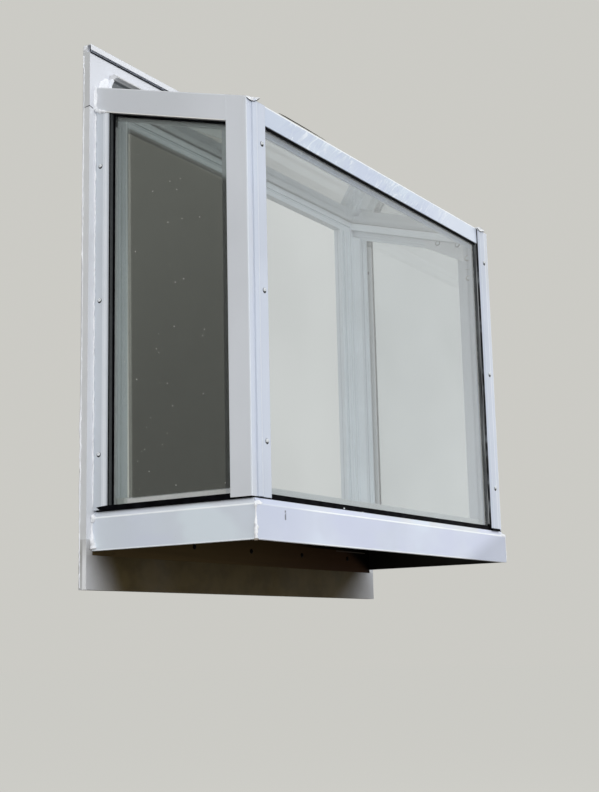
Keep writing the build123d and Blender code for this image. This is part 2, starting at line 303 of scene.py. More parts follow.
    # Painted shade, mottled, on the faces turned sideways.
    def shaded_sides(self, tone):
        patchy = self.mix(self.noise(26, 4), tone, dimmed(tone, 0.86))
        return self.lay(self.band(self.math("ABSOLUTE", self.nx), 0.7, 0.9), patchy, 0.85)

    # Painted highlights, patchy, along the folds and arrises.
    def edge_highlights(self, share):
        patchy = self.band(self.noise(30, 4, seed=17.0), 0.3, 0.6)
        return self.lay(self.times(self.edges(0.0024), patchy), (0.95, 0.96, 0.98), share)

    def inward(self):
        """1 on the faces turned to the middle of the window."""
        return self.band(self.times(self.nx, self.x), -0.4, -0.15, 1, 0)

    def shaded_back(self):
        """Near-black painted shade on the inner side of a folded sheet and on the faces turned down inside
        it.
        """
        inner = self.math("MAXIMUM", self.inward(), self.band(self.ny, 0.3, 0.7))
        under = self.times(self.band(self.nz, -0.9, -0.3, 1, 0), self.band(self.z, 0.07, 0.09))
        hidden_face_tone = self.mix(self.noise(30, 5), (0.002, 0.002, 0.002), (0.009, 0.008, 0.007))
        return self.lay(self.math("MAXIMUM", inner, under), hidden_face_tone)

    # Painted light: a paler tone on the faces turned to the middle of the window.
    def inner_side(self, tone):
        return self.lay(self.inward(), tone)

    def coat(self, rough=(0.3, 0.44), soft=0.0011, **sockets):
        gloss = self.band(self.noise(8, 4, seed=2.0), 0.3, 0.75, *rough)
        self.finish(self.colour, gloss, self.height, round_edge=soft, **sockets)
        return self.material


# white looks: tones first, then the coats in the order of the pieces
# BLUISH, laid on the faces turned to the front, is painted light; SIDE_WHITE is painted shade, the white of
# the side rails, which face sideways; SHINE and HEM_SHINE are painted highlights and SHADE is painted shade.
WHITE = (0.69, 0.72, 0.765)
BLUISH = (0.675, 0.735, 0.855)
SIDE_WHITE = (0.625, 0.652, 0.69)
SHINE = (0.78, 0.83, 0.90)
SHADE = (0.40, 0.45, 0.55)
HEM_SHINE = (0.88, 0.94, 1.0)
INNER_GLOSS = (0.38, 0.5)
RIDGE_Y = (-0.42, -0.4066)
RAIL_FACE_Y = (-0.41, -0.4052)
SIDE_FACE = (0.546, 0.56)
LEDGE_FOLD_Z = (0.1055, 0.1086)

# painted light on the front faces, painted highlights along the edges and down the front corners of the posts
white_metal = (
    Enamel("white_enamel", WHITE, front=dimmed(BLUISH, 0.93)).weather(0.5).edge_highlights(0.5)
    .strip((0.84, 0.90, 0.98), 0.75, wide=(0.5464, 0.56), y=(-0.41, -0.4040)).coat()
)
# painted shade on the side rails, fading to white towards the front, painted highlights along the lower lip
# and the top edge, and painted light inside
white_side_rail = (
    Enamel("white_enamel_side_rail", SIDE_WHITE).toned(WHITE, 1.0, 0.07, y=(-0.7, -0.28)).weather(0.5)
    .strip((0.86, 0.85, 0.82), 0.8, wide=SIDE_FACE, drop=(-0.056, -0.0522))
    .strip(share=0.5, wide=SIDE_FACE, drop=(-0.002, 0.002))
    .inner_side((0.90, 0.94, 0.97)).coat()
)
paint_mat = Enamel("white_enamel_joint", WHITE).weather(0.5).coat(soft=0.0)
# the jamb covers take a darker white on faces turned sideways and a paler one on faces turned to the front,
# painted shade and painted light; a paler strip next to the glass is painted light, and the edges carry
# painted highlights
white_jamb = (
    Enamel("white_enamel_jamb", (0.60, 0.645, 0.70), front=(0.70, 0.74, 0.80)).weather(0.6)
    .strip((0.78, 0.82, 0.88), 0.7, y=(-0.0515, -0.0405)).edge_highlights(0.6).coat()
)
# painted shade on the flanks, painted highlights along the ridges and near the right cover's outer edge, two
# lines of painted shade on the right cover, and a black line down its left flank
white_cover = (
    Enamel("white_enamel_cover", dimmed(BLUISH, 0.89), flank=(0.60, 0.65, 0.74)).weather(0.5)
    .strip(SHINE, 0.75, 0.0025, x=(-0.5205, -0.5135), y=RIDGE_Y)
    .strip(SHINE, 0.6, 0.0025, x=(0.4945, 0.5025), y=RIDGE_Y)
    .strip(SHADE, 0.4, 0.0008, x=(0.5040, 0.5062))
    .strip(SHADE, 0.3, 0.0006, x=(0.5125, 0.5137))
    .strip((0.86, 0.90, 0.96), 0.7, 0.0008, x=(0.5280, 0.5315))
    .strip((0.006, 0.006, 0.008), 1.0, 0.0004, x=(0.4840, 0.4858), y=(-0.4089, -0.4015)).coat(soft=0.0016)
)
# painted light along the rail, brighter to the right and darker to the left, with painted highlights along
# its bottom and top edges
white_rail = (
    Enamel("white_enamel_rippled", (0.615, 0.695, 0.825)).weather(0.5).oil_can(1.2)
    .toned((0.69, 0.755, 0.87), 0.8, 0.10, x=(0.25, 0.9))
    .toned((0.54, 0.605, 0.735), 0.75, 0.05, x=(-0.9, -0.32))
    .crinkles((-0.42, -0.13, 80.0), (-0.08, 0.33, 105.0))
    .strip(share=1.0, y=RAIL_FACE_Y, z=(0.8480, 0.8518))
    .strip(share=0.9, y=RAIL_FACE_Y, z=(0.8992, 0.9030)).coat()
)
# painted highlights along the fold and the hem, painted shade on the left end, a painted reflection on the
# right end, and near-black painted shade inside
white_skirt = (
    Enamel("white_enamel_skirt", (0.685, 0.74, 0.885), ledge=(0.70, 0.725, 0.765)).weather(0.4).oil_can(2.2)
    .strip(share=1.0, z=LEDGE_FOLD_Z)
    .strip(HEM_SHINE, 1.0, z=(0.0400, 0.0448), y=(-0.42, -0.4135))
    .strip((0.58, 0.63, 0.77), 0.7, 0.06, x=(-0.9, -0.38))
    .reflection_end((0.445, 0.485, 0.60))
    .scratch(x=(-0.4545, -0.4500), z=(0.0826, 0.1006), y=(-0.43, -0.40))
    .shaded_back().coat()
)
# painted highlights along the fold and the hem, and near-black painted shade inside
white_skirt_side = (
    Enamel("white_enamel_skirt_side", (0.72, 0.78, 0.86), ledge=(0.74, 0.755, 0.77)).weather(0.4).oil_can(1.6)
    .strip(share=1.0, z=LEDGE_FOLD_Z)
    .strip(HEM_SHINE, 1.0, z=(0.0400, 0.0446), wide=(0.5485, 0.56)).shaded_back().coat()
)


def casing(name, base, top, rough, **sockets):
    """The casing, with brown painted shade under the window box. top is where that shade thins out upwards.
    """
    look = Enamel(name, base).weather(0.8).shaded_sides((0.69, 0.705, 0.715))
    # painted shade: darker towards the bottom, and brown under the window box
    look.strip((0.30, 0.28, 0.25), 0.22, 0.09, z=(-0.2, 0.05)).box_shade((0.082, 0.062, 0.028), top)
    return look.pale_foot((0.86, 0.875, 0.89)).coat(rough, **sockets)


casing_white = casing("casing_enamel", (0.79, 0.815, 0.865), (0.030, 0.100), (0.3, 0.44))
casing_apron = casing("casing_enamel_apron", (0.75, 0.775, 0.83), None, (0.5, 0.68), Specular_IOR_Level=0.08)
# painted shade on the faces turned sideways
casing_head = Enamel("casing_enamel_head", (0.735, 0.76, 0.82)).weather(0.6)
casing_head = casing_head.shaded_sides((0.60, 0.615, 0.615)).coat()
# painted highlights along the edges of the inner and sill enamel; the corner plates and side sill rails take
# paler copies of the inner enamel, painted light for the shade they stand in
inner_white = Enamel("inner_enamel", (0.81, 0.855, 0.88)).weather(0.4).edge_highlights(0.3).coat(INNER_GLOSS)
plate_white = Enamel("inner_enamel_plate", (0.96, 0.98, 0.99)).weather(0.4).coat(INNER_GLOSS)
side_sill = Enamel("inner_enamel_side_sill", (0.94, 0.96, 0.96)).weather(0.4).coat(INNER_GLOSS)
sill_white = Enamel("inner_enamel_sill", (0.66, 0.68, 0.675)).weather(0.8).edge_highlights(0.4).coat(INNER_GLOSS)

# the stepped ring: grooves with painted shade down the posts, in the jambs' depth and along the head
grooved = Enamel("inner_enamel_grooved", (0.80, 0.85, 0.885)).weather(0.4)
for low, high in (
    (0.4515, 0.4532), (0.4655, 0.4668), (0.4795, 0.4815),
    (0.5085, 0.5128), (0.5015, 0.5028), (0.5225, 0.5240),
):
    grooved.groove(z=(0.1, 0.96), wide=(low, high))
for low, high in ((-0.0210, -0.0196), (-0.0105, -0.0092), (-0.0465, -0.0450), (-0.0372, -0.0360)):
    grooved.groove(wide=(0.43, 0.4905), y=(low, high))
for low, high in ((0.9755, 0.9770), (0.9925, 0.9940)):
    grooved.groove(wide=(-1.0, 0.44), z=(low, high))
inner_frame = grooved.coat(INNER_GLOSS)


def rubber():
    s = Shader("black_gasket")
    colour = s.mix(s.band(s.noise(40, 4), 0.4, 0.7), (0.0018, 0.0018, 0.0024), (0.006, 0.006, 0.008))
    colour = s.mix(s.times(s.band(s.noise(260, 2), 0.68, 0.78), 0.12), colour, (0.2, 0.2, 0.19))
    # painted light: faces turned down take a dark grey in place of black
    colour = s.mix(s.band(s.nz, -0.9, -0.5, 1, 0), colour, (0.020, 0.023, 0.021))
    # the pale streaks on the upright bead beside the right post cover
    streaks = s.band(s.noise(1.0, 3, (600, 600, 5), seed=4.0), 0.42, 0.58)
    pale_streaks = s.mix(streaks, (0.02, 0.02, 0.022), (0.38, 0.40, 0.41))
    colour = s.mix(s.within(0.0004, x=(0.4790, 0.4854), z=(0.135, 0.862)), colour, pale_streaks)
    s.finish(colour, s.gloss(60, 3, 0.45, 0.65), s.noise(300, 3), depth=0.0003, Specular_IOR_Level=0.012)
    return s.material


def mill():
    s = Shader("mill_aluminium")
    # painted shade: the bar is dark all over; painted light: the lip along its top is pale
    colour = s.mix(s.noise(1.0, 5, (3, 120, 120)), (0.125, 0.137, 0.147), (0.205, 0.222, 0.235))
    spots = s.band(s.noise(120, 3, seed=4.0), 0.6, 0.75)
    colour = s.mix(s.times(spots, 0.4), colour, (0.4, 0.4, 0.39))
    lip = s.mix(s.noise(1.0, 4, (3, 90, 90), seed=8.0), (0.60, 0.61, 0.63), (0.72, 0.73, 0.74))
    colour = s.mix(s.band(s.z, 1.0475, 1.0495), colour, lip)
    s.finish(colour, s.gloss(30, 3, 0.34, 0.52), s.noise(1.0, 4, (6, 400, 400)), depth=0.0002,
             round_edge=0.0006, Metallic=0.2)
    return s.material


def board():
    s = Shader("brown_board")
    grain = s.noise(1.0, 6, (2.2, 60, 60), 0.62)
    left_end = s.mix(grain, (0.057, 0.040, 0.019), (0.138, 0.100, 0.047))
    right_end = s.mix(grain, (0.026, 0.0135, 0.0078), (0.063, 0.0345, 0.0205))
    # painted shade: the board darkens towards its right end
    colour = s.mix(s.band(s.x, -0.35, 0.45), left_end, right_end)
    knots = s.band(s.noise(1.0, 3, (7, 18, 18), seed=6.0), 0.62, 0.72)
    colour = s.mix(s.times(knots, 0.6), colour, (0.02, 0.012, 0.008))
    # painted shade: black along the top edge and at the right end, with a pale line under the edge
    corner = s.band(s.plus(s.x, s.times(s.z, 2.1)), 0.5825, 0.6525)
    edge = s.times(s.band(s.z, 0.0865, 0.0885), s.band(s.x, 0.15, 0.32))
    colour = s.mix(s.math("MAXIMUM", corner, edge), colour, (0.0016, 0.0014, 0.0012))
    colour = s.mix(s.within(0.0006, x=(0.38, 0.527), z=(0.0838, 0.0862)), colour, (0.090, 0.082, 0.074))
    s.finish(colour, s.band(grain, 0.3, 0.7, 0.62, 0.8), grain, depth=0.0008, Specular_IOR_Level=0.03)
    return s.material


def painted_seat():
    """Painted on top, bare wood below."""
    s = Shader("painted_seat")
    grain = s.noise(1.0, 5, (1.6, 26, 26), 0.6)
    colour = s.mix(s.band(grain, 0.35, 0.7), (0.64, 0.645, 0.64), (0.75, 0.755, 0.75))
    colour = s.mix(s.times(s.band(s.noise(7, 5), 0.5, 0.72), 0.35), colour, (0.5, 0.48, 0.44))
    hidden_face_tone = s.mix(grain, (0.056, 0.036, 0.016), (0.130, 0.088, 0.042))
    colour = s.mix(s.band(s.nz, -0.8, -0.4, 1, 0), colour, hidden_face_tone)
    s.finish(colour, s.gloss(18, 3, 0.42, 0.6), grain, round_edge=0.0008, Specular_IOR_Level=0.1)
    return s.material


def sealant():
    s = Shader("white_sealant")
    colour = s.mix(s.band(s.noise(70, 4), 0.36, 0.66), (0.81, 0.835, 0.875), (0.925, 0.945, 0.98))
    # painted shade: grey patches in the folds
    folds = s.band(s.noise(42, 3, seed=7.0), 0.56, 0.7)
    colour = s.mix(s.times(folds, 0.6), colour, (0.66, 0.68, 0.70))
    dirt = s.band(s.noise(150, 4, seed=12.0), 0.66, 0.78)
    colour = s.mix(s.times(dirt, 0.4), colour, (0.40, 0.36, 0.31))
    s.finish(colour, s.gloss(50, 3, 0.35, 0.55), s.noise(190, 4), depth=0.0012)
    return s.material


def steel():
    """Bright screw heads with a little rust, dark on the side away from the light."""
    s = Shader("screw_steel")
    colour = s.mix(s.noise(500, 3), (0.72, 0.76, 0.80), (0.93, 0.96, 0.99))
    rust = s.band(s.noise(700, 3, seed=5.0), 0.6, 0.72)
    colour = s.mix(s.times(rust, 0.3), colour, (0.22, 0.12, 0.06))
    shade = s.plus(s.nz, s.times(s.nx, -0.6))
    colour = s.mix(s.band(shade, -0.75, 0.0, 0.95, 0), colour, (0.035, 0.04, 0.045))
    s.finish(colour, s.gloss(300, 2, 0.24, 0.4), s.noise(900, 2), depth=0.0001, Metallic=0.4)
    return s.material


def spacer_metal():
    """Dull metal, with streaky painted shade where the roof and the right post shade it."""
    s = Shader("spacer_bar")
    colour = s.mix(s.noise(1.0, 4, (90, 90, 90)), (0.56, 0.57, 0.58), (0.70, 0.71, 0.72))
    by_roof = s.within(0.001, drop=(-0.082, -0.030))
    by_post = s.within(0.001, x=(0.45, 0.52), y=(-0.42, -0.38))
    streaks = s.mix(s.noise(1.0, 4, (240, 240, 7), seed=3.0), (0.02, 0.022, 0.022), (0.26, 0.27, 0.27))
    colour = s.mix(s.math("MAXIMUM", by_roof, by_post), colour, streaks)
    s.finish(colour, s.gloss(80, 2, 0.35, 0.5), s.noise(500, 2), depth=0.0001, Metallic=0.3)
    return s.material


def two_tone(name, low, high, grain, gloss, height, depth, **sockets):
    """A plain look of two tones mixed by one noise."""
    s = Shader(name)
    s.finish(s.mix(s.noise(*grain), low, high), s.gloss(*gloss), s.noise(*height), depth, **sockets)
    return s.material


def matte_tone(name, low, high):
    return two_tone(name, low, high, (160, 4), (90, 2, 0.75, 0.9), (400, 3), 0.0004, Specular_IOR_Level=0.2)


def window_glass(name, tint, border=None):
    """Clear glass. A border tone gives it a smoky middle of painted shade, darker towards the bottom, a
    clearer border and a pale line between.
    """
    s = Shader(name)
    if border:
        tint = s.mix(s.band(s.z, 0.95, 0.15), tint, dimmed(tint, 0.76))
        under = s.band(s.math("SUBTRACT", s.z, s.times(s.y, 0.645)), 0.962, 0.984, 1, 0)
        slid = s.math("SUBTRACT", s.y, s.times(s.z, 0.009))
        middle = s.times(s.band(slid, -0.1052, -0.1030, 1, 0), s.within(0.0014, z=(0.1425, 2.0)))
        border = s.mix(s.within(0.0014, z=(0.0, 0.1425), y=(-0.6, -0.09)), border, (1.0, 1.0, 1.0))
        line = s.times(s.band(slid, -0.1042, -0.1030), s.band(slid, -0.1016, -0.1004, 1, 0))
        line = s.times(line, s.within(0.0008, z=(0.1425, 0.93)))
        tint = s.mix(s.times(middle, under), s.mix(line, border, (0.92, 0.94, 0.93)), tint)
    weak = s.node("ShaderNodeVectorMath", {"operation": "SCALE"}, i0=tint, Scale=s.gloss(2.4, 3, 0.96, 1.0))
    smear = s.band(s.noise(6, 5, (1, 1, 0.5), 0.6), 0.45, 0.8, 0.0, 0.02)
    bump = s.node("ShaderNodeBump", Height=s.noise(2.2, 2), Distance=0.0006, Strength=0.25)
    p = s.node("ShaderNodeBsdfPrincipled", Base_Color=weak.outputs[0], Roughness=smear, IOR=1.47,
               Transmission_Weight=1.0, Normal=bump.outputs[0])
    clear = s.node("ShaderNodeBsdfTransparent", Color=(0.96, 0.965, 0.965, 1))
    shadow = s.node("ShaderNodeLightPath").outputs["Is Shadow Ray"]
    s.out(s.node("ShaderNodeMixShader", i0=shadow, i1=p.outputs[0], i2=clear.outputs[0]).outputs[0])
    return s.material


black_rubber = rubber()
caulk_mat = sealant()
screw_mat = steel()
spacer_mat = spacer_metal()
chip_mat = two_tone("grey_brown_chip", (0.17, 0.145, 0.12), (0.42, 0.38, 0.33),
                    (240, 4), (90, 3, 0.6, 0.8), (260, 4), 0.001)
dark_screw_and_shadow_mat = two_tone("dark_screw_and_shadow", (0.001, 0.0008, 0.0007), (0.004, 0.003, 0.0025),
                          (400, 3), (300, 2, 0.4, 0.6), (900, 2), 0.0001, Specular_IOR_Level=0.03)
dust_mat = two_tone("pale_dust", (0.62, 0.62, 0.6), (0.86, 0.86, 0.85),
                    (300, 3), (200, 2, 0.7, 0.9), (600, 2), 0.0001)
joint_and_shadow_mat = matte_tone("dark_joint_and_shadow", (0.010, 0.012, 0.017), (0.022, 0.026, 0.034))
lip_mat = matte_tone("grey_lip", (0.050, 0.055, 0.058), (0.088, 0.096, 0.100))
# the left pane's dark tint is painted shade for the dark room behind it, and the roof's greyer tint is a
# painted dark reflection
left_glass_mat = window_glass("window_glass_left", (0.385, 0.40, 0.385), (0.76, 0.79, 0.78))
right_glass_mat = window_glass("window_glass_right", (0.93, 0.945, 0.955))
roof_glass_mat = window_glass("window_glass_roof", (0.68, 0.70, 0.70))
front_glass_mat = window_glass("window_glass_front", (0.94, 0.965, 0.985))

by_slot = {
    "white_metal": white_metal,
    "casing_white": casing_white,
    "inner_white": inner_white,
    "clear_glass": roof_glass_mat,
    "black_rubber": black_rubber,
    "mill_metal": mill(),
    "brown_board": board(),
    "seat_white": painted_seat(),
}
# looks of their own, by the node's name without its side
by_name = {
    "front_top_rail": white_rail,
    "skirt_front": white_skirt,
    "skirt": white_skirt_side,
    "post_cover": white_cover,
    "side_top_rail": white_side_rail,
    "jamb_cover": white_jamb,
    "inner_jamb": inner_frame,
    "inner_head": inner_frame,
    "wall_post": inner_frame,
    "front_sill_rail": sill_white,
    "sill_rail": side_sill,
    "trim_top": casing_head,
    "apron_board": casing_apron,
}
for part in frame["record"]["subparts"]:
    stem = part["node"].removesuffix("_left").removesuffix("_right")
    look = by_name.get(stem, by_slot[part["material_slot"]])
    for holder in nodes[part["node"]].material_slots:
        holder.material = look


# mesh helpers
def piece(name, verts, faces, look, smooth=True):
    mesh = bpy.data.meshes.new(name)
    mesh.from_pydata([Vector(v) * MM for v in verts], [], faces)
    mesh.validate()
    work = bmesh.new()
    work.from_mesh(mesh)
    bmesh.ops.recalc_face_normals(work, faces=work.faces)
    work.to_mesh(mesh)
    work.free()
    for face in mesh.polygons:
        face.use_smooth = smooth
    mesh.materials.append(look)
    obj = bpy.data.objects.new(name, mesh)
    bpy.context.scene.collection.objects.link(obj)
    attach(obj, "root")
    return obj


class Shape:
    """Vertices and faces of several forms that share one piece."""

    def __init__(self):
        self.verts = []
        self.faces = []

    def add(self, verts, faces):
        start = len(self.verts)
        self.faces += [tuple(i + start for i in face) for face in faces]
        self.verts += [Vector(v) for v in verts]

    def rings(self, rings):
        """A skin over rings of equal length, capped at both ends."""
        n = len(rings[0])
        verts = [v for ring in rings for v in ring]
        faces = []
        for i in range(len(rings) - 1):
            for j in range(n):
                k = (j + 1) % n
                faces.append((i * n + j, i * n + k, (i + 1) * n + k, (i + 1) * n + j))
        faces.append(tuple(reversed(range(n))))
        faces.append(tuple(range((len(rings) - 1) * n, len(rings) * n)))
        self.add(verts, faces)

    def prism(self, outline, move):
        """A flat outline moved along a vector."""
        move = Vector(move)
        n = len(outline)
        verts = [Vector(p) for p in outline] + [Vector(p) + move for p in outline]
        faces = [tuple(reversed(range(n))), tuple(range(n, 2 * n))]
        faces += [(i, (i + 1) % n, n + (i + 1) % n, n + i) for i in range(n)]
        self.add(verts, faces)

    def bead(self, points, radii, seed, wobble=0.35, sides=10, steps=6):
        """A hand-laid bead of sealant: a tube whose size and path wander."""
        rings = []
        points = [Vector(p) for p in points]
        for i in range(len(points) - 1):
            a, b = points[i], points[i + 1]
            count = steps if i < len(points) - 2 else steps + 1
            for k in range(count):
                t = k / steps
                spot = a.lerp(b, t)
                size = radii[i] * (1 - t) + radii[i + 1] * t
                along = (b - a).normalized()
                side = along.orthogonal().normalized()
                other = along.cross(side)
                wander = noise.noise_vector(spot * 0.09 + Vector((seed, 0, 0))) * size * wobble
                ring = []
                for j in range(sides):
                    angle = 2 * math.pi * j / sides
                    c, d = math.cos(angle), math.sin(angle)
                    lump = 1 + wobble * noise.noise(spot * 0.22 + Vector((c, d, seed)))
                    ring.append(spot + wander + (side * c + other * d) * size * lump)
                rings.append(ring)
        self.rings(rings)

    def blob(self, centre, size, seed, bumps=0.3, rows=9, sides=14):
        """A lump of sealant."""
        centre = Vector(centre)
        rings = []
        for i in range(rows):
            lat = math.pi * (i + 0.5) / rows - math.pi / 2
            ring = []
            for j in range(sides):
                lon = 2 * math.pi * j / sides
                d = Vector((math.cos(lat) * math.cos(lon), math.cos(lat) * math.sin(lon), math.sin(lat)))
                lump = 1 + bumps * noise.noise(d * 1.7 + Vector((seed, seed, 0)))
                ring.append(centre + Vector((d.x * size[0], d.y * size[1], d.z * size[2])) * lump)
            rings.append(ring)
        self.rings(rings)

    def patch(self, outline, out, high, seed):
        """A flat smear of sealant with a wavy edge, on the plane of its outline."""
        points = [Vector(p) for p in outline]
        border = []
        for a, b in zip(points, points[1:] + points[:1]):
            steps = max(2, round((b - a).length / 3.5))
            border += [a.lerp(b, k / steps) for k in range(steps)]
        centre = sum(border, Vector()) / len(border)
        out = Vector(out)
        rings = []
        for share, lift in ((1.0, -0.2), (0.98, 0.3), (0.88, 0.75), (0.62, 1.0), (0.32, 0.92), (0.04, 0.95)):
            ring = []
            for p in border:
                q = centre.lerp(p, share)
                wave = noise.noise(q * 0.2 + Vector((seed, 0, 0)))
                swell = noise.noise(q * 0.13 + Vector((0, seed, 0)))
                way = (p - centre).normalized()
                ring.append(q + way * wave * 2.0 * share + out * high * lift * (1 + 0.7 * swell))
            rings.append(ring)
        self.rings(rings)

    def turned(self, spot, axis, profile, sides=16):
        """Rings round an axis, as (radius, height) pairs."""
        axis = Vector(axis).normalized()
        side = axis.orthogonal().normalized()
        other = axis.cross(side)
        angles = [2 * math.pi * k / sides for k in range(sides)]
        self.rings([
            [spot + axis * high + (side * math.cos(a) + other * math.sin(a)) * radius for a in angles]
            for radius, high in profile
        ])

    def screw(self, spot, axis, r, height):
        """A domed screw head with a hollow drive, facing along axis."""
        dome = ((1.0, 0.12), (0.93, 0.45), (0.74, 0.78), (0.5, 0.95),
                (0.36, 1.0), (0.34, 0.98), (0.3, 0.35), (0.02, 0.3))
        self.turned(Vector(spot), axis, [(r, -0.4)] + [(share * r, up * height) for share, up in dome])

    def seat(self, spot, axis, r, low=0.8):
        """A painted shadow round a screw head: a low dark ring under it, a little below its middle."""
        ring = ((r * 1.28, -0.3), (r * 1.28, 0.16), (r * 0.9, 0.2), (r * 0.5, 0.2))
        self.turned(Vector(spot) + Vector((0, 0, -low)), axis, ring)

    def mirrored(self):
        other = Shape()
        flipped = [Vector((-v.x, v.y, v.z)) for v in self.verts]
        other.add(flipped, [tuple(reversed(f)) for f in self.faces])
        return other

    def make(self, name, look, slot, smooth=True):
        return piece(name, self.verts, self.faces, look, smooth)

    def make_pair(self, name, look, slot, smooth=True):
        """The piece on the left and its mirror image on the right."""
        self.make(name + "_left", look, slot, smooth)
        self.mirrored().make(name + "_right", look, slot, smooth)


# glass units
PANE = 3.0
UNIT = 14.0
SPACER_IN = 4.0
SPACER_HIGH = 9.0
SPACER_GAP = 0.3


def inset(outline, by):
    """The same outline, drawn in by a distance. Outlines are (u, v) pairs, anticlockwise."""
    result = []
    n = len(outline)
    for i in range(n):
        a, b, c = (Vector(outline[(i + k - 1) % n]) for k in range(3))
        d1 = (b - a).normalized()
        d2 = (c - b).normalized()
        n1 = Vector((-d1.y, d1.x))
        n2 = Vector((-d2.y, d2.x))
        result.append(tuple(b + (n1 + n2) * by / (1 + n1.dot(n2))))
    return result


def glass_unit(name, node, outline, place, out, look):
    """Two panes and a spacer bar. place(u, v) is a point of the outer face, out the way inwards."""
    out = Vector(out)
    panes = Shape()
    outer = [Vector(place(u, v)) for u, v in outline]
    panes.prism(outer, out * PANE)
    panes.prism([p + out * (UNIT - PANE) for p in outer], out * PANE)
    unit = panes.make(name + "_panes", look, "clear_glass", smooth=False)
    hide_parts(node)
    frame_out = inset(outline, SPACER_IN)
    frame_in = inset(outline, SPACER_IN + SPACER_HIGH)
    n = len(outline)
    near = PANE + SPACER_GAP
    far = UNIT - PANE - SPACER_GAP
    loops = ((frame_out, near), (frame_in, near), (frame_in, far), (frame_out, far))
    verts = [Vector(place(u, v)) + out * depth for line, depth in loops for u, v in line]
    faces = []
    for k in range(4):
        for i in range(n):
            j = (i + 1) % n
            faces.append((k * n + i, k * n + j, ((k + 1) % 4) * n + j, ((k + 1) % 4) * n + i))
    spacer = Shape()
    spacer.add(verts, faces)
    spacer.make(name + "_spacer", spacer_mat, "clear_glass", smooth=False)


# each pane laps the posts by LAP, and its top stands below the roof plane or the top of the front rail
LAP = 10.0
SIDE_PANE_DOWN = 44.5
FRONT_PANE_DOWN = 31.0
ROOF_PANE_DOWN = 9.0
ROOF_PANE_IN = 9.5
GLASS_SIDE = SIDE - 11.0
GLASS_FRONT = FRONT + 5.0
FRONT_HALF = SIDE - 63.0 + LAP
STILE_Y = FRONT + 50.5
JAMB_Y = CASING - 41.0
side_low = STILE_Y - LAP
side_high = JAMB_Y + LAP
side_outline = [
    (side_low, LEDGE),
    (side_high, LEDGE),
    (side_high, roof_z(side_high) - SIDE_PANE_DOWN),
    (side_low, roof_z(side_low) - SIDE_PANE_DOWN),
]
glass_unit(
    "left", "left_glass", side_outline,
    lambda u, v: (-GLASS_SIDE, u, v),
    (1, 0, 0), left_glass_mat,
)
glass_unit(
    "right", "right_glass", side_outline,
    lambda u, v: (GLASS_SIDE, u, v),
    (-1, 0, 0), right_glass_mat,
)
front_outline = [
    (-FRONT_HALF, LEDGE),
    (FRONT_HALF, LEDGE),
    (FRONT_HALF, FRONT_TOP - FRONT_PANE_DOWN),
    (-FRONT_HALF, FRONT_TOP - FRONT_PANE_DOWN),
]
glass_unit(
    "front", "front_glass", front_outline,
    lambda u, v: (u, GLASS_FRONT, v),
    (0, 1, 0), front_glass_mat,
)
ROOF_EDGE = SIDE - ROOF_PANE_IN
roof_low = FRONT + ROOF_PANE_IN
slope = Vector((0, CASING - roof_low, roof_z(CASING) - roof_z(roof_low)))
roof_run = slope.length
slope.normalize()
roof_outline = [(-ROOF_EDGE, 0), (ROOF_EDGE, 0), (ROOF_EDGE, roof_run), (-ROOF_EDGE, roof_run)]
roof_start = Vector((0, roof_low, roof_z(roof_low) - ROOF_PANE_DOWN))
glass_unit(
    "roof", "roof_glass", roof_outline,
    lambda u, v: Vector((u, 0, 0)) + roof_start + slope * v,
    (0, 0, -1), roof_glass_mat,
)

# screws
COVER_SCREW = -497.5
RIGHT_COVER_SCREW = 522.3
JAMB_SCREW_Y = -33.5
HOLE_COUNT = 5
HOLE_PITCH = 217.0
HOLE_Z = 66.7
left_screws, left_seats = Shape(), Shape()
right_screws, right_seats = Shape(), Shape()
jamb_screws, jamb_seats = Shape(), Shape()
for z in (819.0, 522.0, 229.0):
    left_screws.screw((COVER_SCREW, FRONT - 1.0, z), (0, -1, 0), 4.3, 2.8)
    left_seats.seat((COVER_SCREW, FRONT - 1.0, z), (0, -1, 0), 4.3)
    right_screws.screw((RIGHT_COVER_SCREW, FRONT - 1.0, z), (0, -1, 0), 4.7, 3.0)
    right_seats.seat((RIGHT_COVER_SCREW, FRONT - 1.0, z), (0, -1, 0), 4.7, 2.4)
for z in (841.0, 552.0, 234.0):
    jamb_screws.screw((-SIDE, JAMB_SCREW_Y, z), (-1, 0, 0), 4.2, 2.8)
    jamb_seats.seat((-SIDE, JAMB_SCREW_Y, z), (-1, 0, 0), 4.2)
left_screws.make("post_screws_left", screw_mat, "mill_metal")
right_screws.make("post_screws_right", screw_mat, "mill_metal")
jamb_screws.make_pair("jamb_screws", screw_mat, "mill_metal")
# painted shadows round the screw heads
left_seats.make("post_screw_shadows_left", dark_screw_and_shadow_mat, "black_rubber")
right_seats.make("post_screw_shadows_right", dark_screw_and_shadow_mat, "black_rubber")
jamb_seats.make_pair("jamb_screw_shadows", dark_screw_and_shadow_mat, "black_rubber")
ledger_screws = Shape()
for place in range(HOLE_COUNT):
    ledger_screws.screw(((place - HOLE_COUNT // 2) * HOLE_PITCH, CASING, HOLE_Z), (0, -1, 0), 5.7, 2.2)
ledger_screws.make("ledger_screws", dark_screw_and_shadow_mat, "mill_metal")


# corner plates inside the top front corners
PLATE_X = -SIDE + 32.2
PLATE_THICK = 2.2
PLATE_TOP = 44.0
plate = Shape()
near, far = FRONT + 52, FRONT + 168
plate.prism([
    (PLATE_X, near, roof_z(near) - 92),
    (PLATE_X, far, roof_z(far) - 66),
    (PLATE_X, far, roof_z(far) - PLATE_TOP),
    (PLATE_X, near, roof_z(near) - PLATE_TOP),
], (PLATE_THICK, 0, 0))
